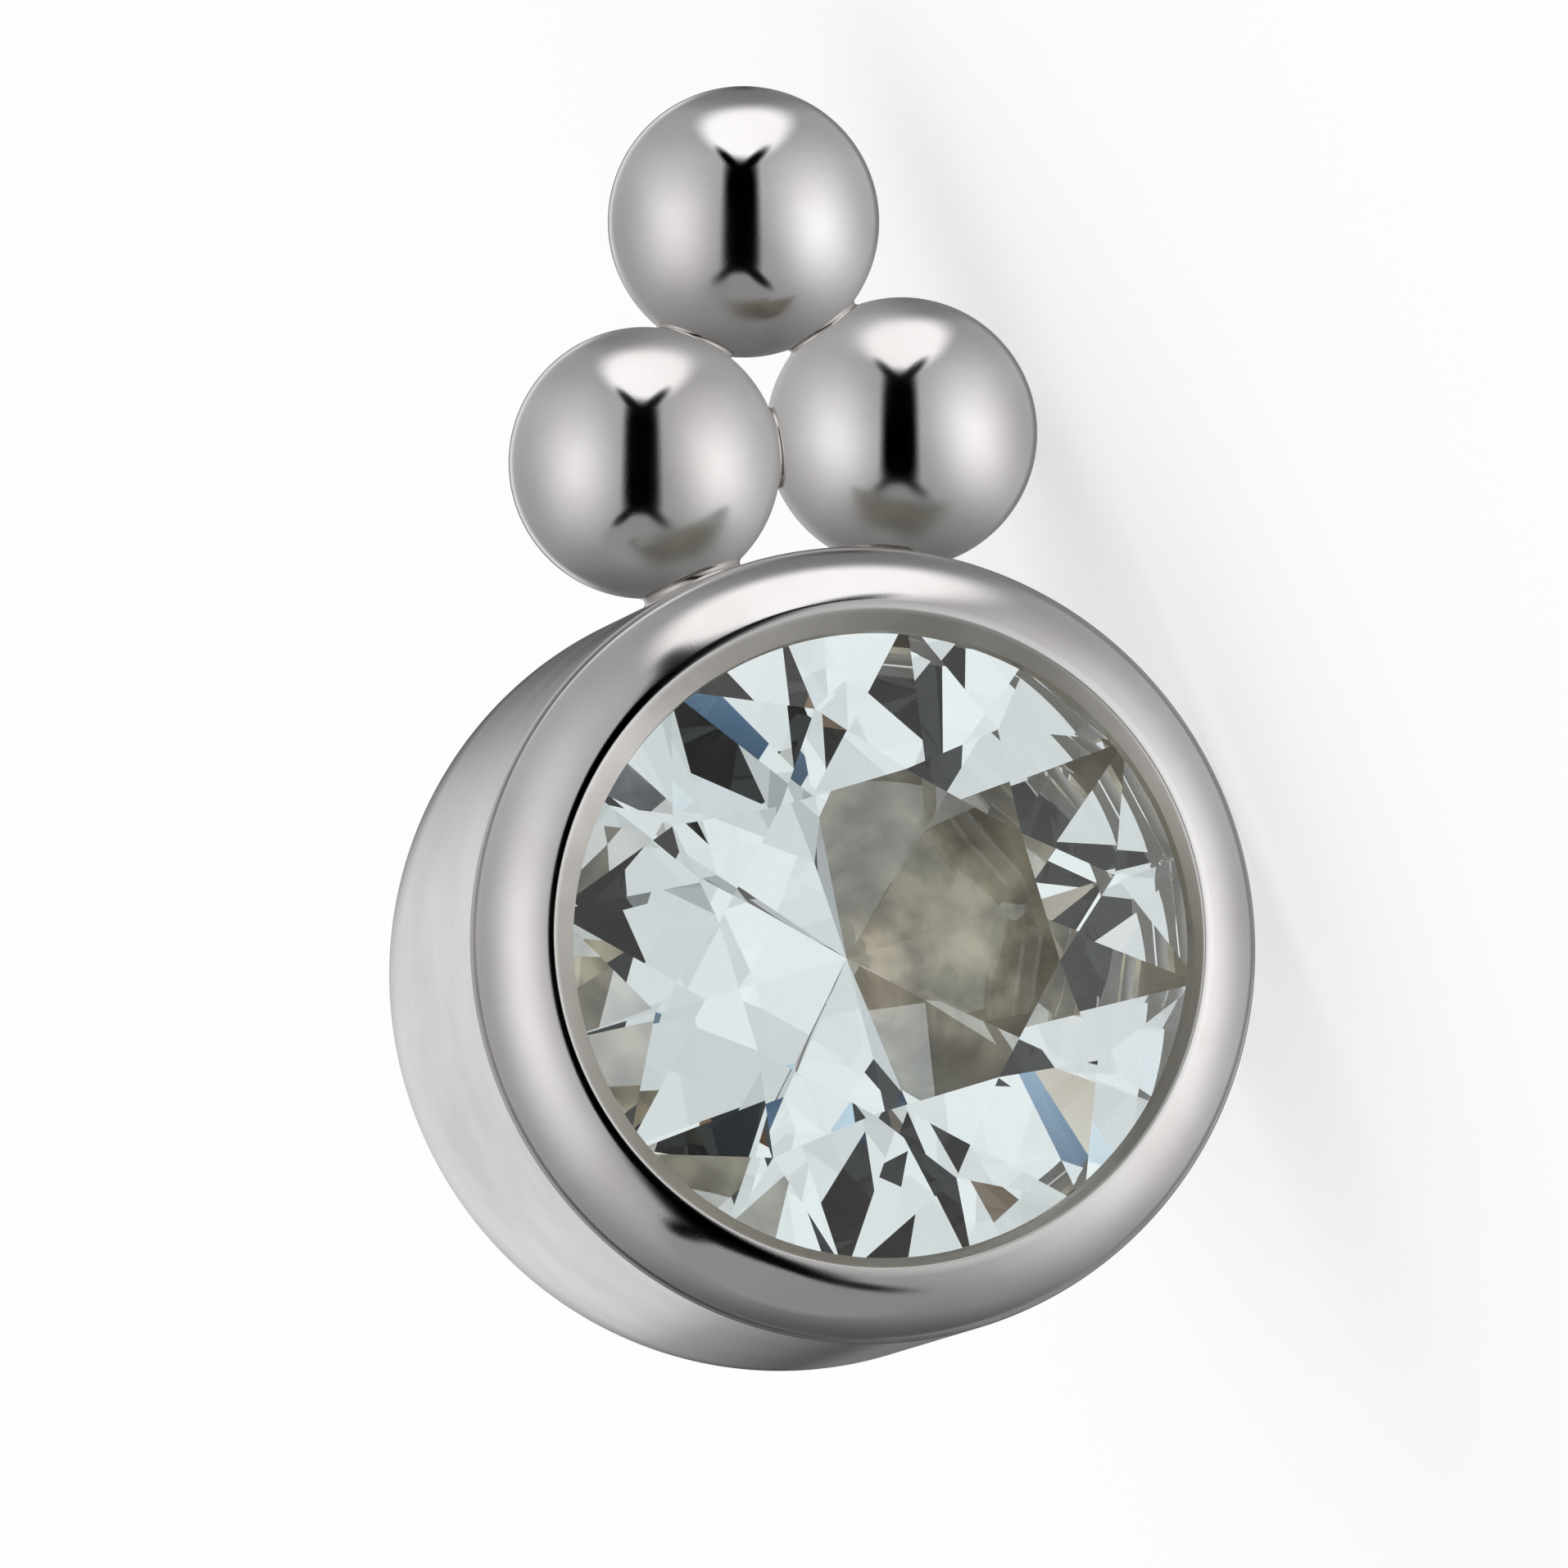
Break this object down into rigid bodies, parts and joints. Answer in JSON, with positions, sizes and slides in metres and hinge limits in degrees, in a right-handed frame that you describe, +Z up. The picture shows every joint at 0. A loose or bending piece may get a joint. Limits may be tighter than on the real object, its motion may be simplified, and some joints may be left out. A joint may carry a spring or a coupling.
{
  "type": "threaded piercing top",
  "caption": "Round bezel-set cut stone in a deep drum, with small beads soldered to its side and a threaded pin on its flat back, to screw onto a piercing post.",
  "frame": {"origin": "on the surface that the piece lies on, under the middle of its bounding box", "axes": "+Y along the drum's axis out of its back, the way the pin points; the stone faces -Y; +X towards the beads; +Z up from the surface"},
  "size_m": [0.0078, 0.0064, 0.005],
  "materials": {
    "polished_titanium": "mirror-polished titanium with faint buffing marks",
    "cut_crystal": "clear faceted crystal glass, polished",
    "machined_titanium": "fine-turned titanium thread"
  },
  "bodies": {
    "root": {"setting": "polished_titanium", "stone": "cut_crystal", "threaded_pin": "machined_titanium"}
  },
  "joints": []
}
